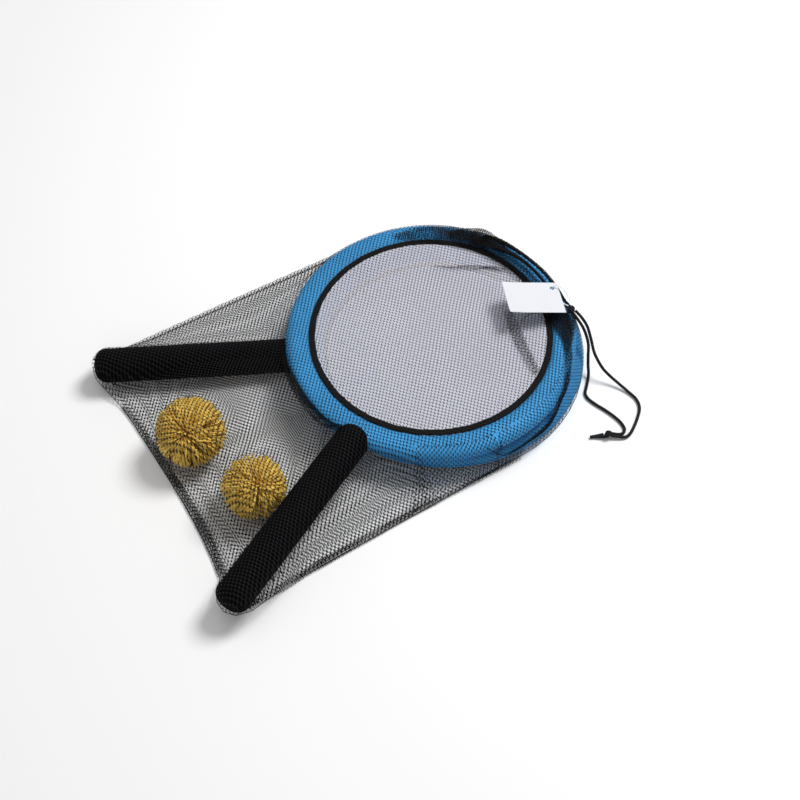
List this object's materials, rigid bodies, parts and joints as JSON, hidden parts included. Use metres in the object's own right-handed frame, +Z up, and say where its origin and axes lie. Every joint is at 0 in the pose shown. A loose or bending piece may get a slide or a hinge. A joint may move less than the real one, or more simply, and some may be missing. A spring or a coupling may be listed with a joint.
{
  "type": "net racket set",
  "caption": "Two padded round net rackets with foam grips and two string balls, lying in a drawstring mesh bag.",
  "frame": {"origin": "on the floor under the centre of the lower racket's hoop, on the underside of the bag's base net", "axes": "+X along the bag from its closed end to its drawn mouth, +Z up off the floor"},
  "size_m": [0.4991, 0.3746, 0.0752],
  "materials": {
    "steel_rod": "satin",
    "moulded_plastic": "matte",
    "hoop_foam": "matte",
    "blue_cover": "satin",
    "black_tape": "matte",
    "face_net": "matte",
    "black_foam": "matte",
    "ball_string": "matte",
    "ball_band": "matte",
    "bag_net": "matte",
    "bag_seam": "matte",
    "drawcord": "matte",
    "tag_card": "satin",
    "tag_loop": "gloss"
  },
  "bodies": {
    "bag": {"bag_base_net": "bag_net", "bag_top_net": "bag_net", "bag_far_seam": "bag_seam", "bag_near_seam": "bag_seam", "bag_end_seam": "bag_seam", "bag_gather": "bag_net", "bag_hem": "bag_net", "hem_cord": "drawcord", "mouth_knot": "drawcord", "cord_right": "drawcord", "cord_left": "drawcord", "end_knot": "drawcord", "cord_tails": "drawcord", "tag_loop": "tag_loop"},
    "lower_racket": {"lower_hoop_rod": "steel_rod", "lower_rod_sleeve": "moulded_plastic", "lower_hoop_foam": "hoop_foam", "lower_hoop_cover": "blue_cover", "lower_edge_tape": "black_tape", "lower_face_net": "face_net", "lower_handle_tube": "steel_rod", "lower_tube_plug": "moulded_plastic", "lower_foam_grip": "black_foam"},
    "upper_racket": {"upper_hoop_rod": "steel_rod", "upper_rod_sleeve": "moulded_plastic", "upper_hoop_foam": "hoop_foam", "upper_hoop_cover": "blue_cover", "upper_edge_tape": "black_tape", "upper_face_net": "face_net", "upper_handle_tube": "steel_rod", "upper_tube_plug": "moulded_plastic", "upper_foam_grip": "black_foam"},
    "ball_1": {"ball_1_strings": "ball_string", "ball_1_tie": "ball_band"},
    "ball_2": {"ball_2_strings": "ball_string", "ball_2_tie": "ball_band"},
    "tag": {"hang_tag": "tag_card"}
  },
  "joints": [
    {"name": "rackets_out", "type": "slide", "parent": "bag", "child": "lower_racket", "axis": [1, 0, 0], "range_m": [0, 0.5], "deforming": ["bag_top_net", "bag_gather", "bag_hem", "hem_cord", "cord_right", "cord_left"]},
    {"name": "upper_swivel", "type": "hinge", "parent": "lower_racket", "child": "upper_racket", "pos_m": [-0.0128, 0.0002, 0.0394], "axis": [-0.014, -0.0227, 0.9996], "range_deg": [0, 3], "deforming": ["bag_top_net"]},
    {"name": "ball_1_spin", "type": "hinge", "parent": "bag", "child": "ball_1", "pos_m": [-0.2775, 0.025, 0.036], "axis": [0, 0, 1], "continuous": true},
    {"name": "ball_2_spin", "type": "hinge", "parent": "bag", "child": "ball_2", "pos_m": [-0.253, -0.0625, 0.033], "axis": [0, 0, 1], "continuous": true},
    {"name": "tag_swing", "type": "hinge", "parent": "bag", "child": "tag", "pos_m": [0.1212, -0.0408, 0.0606], "axis": [0.3584, 0.9336, 0], "range_deg": [0, 90], "deforming": ["tag_loop"]}
  ]
}
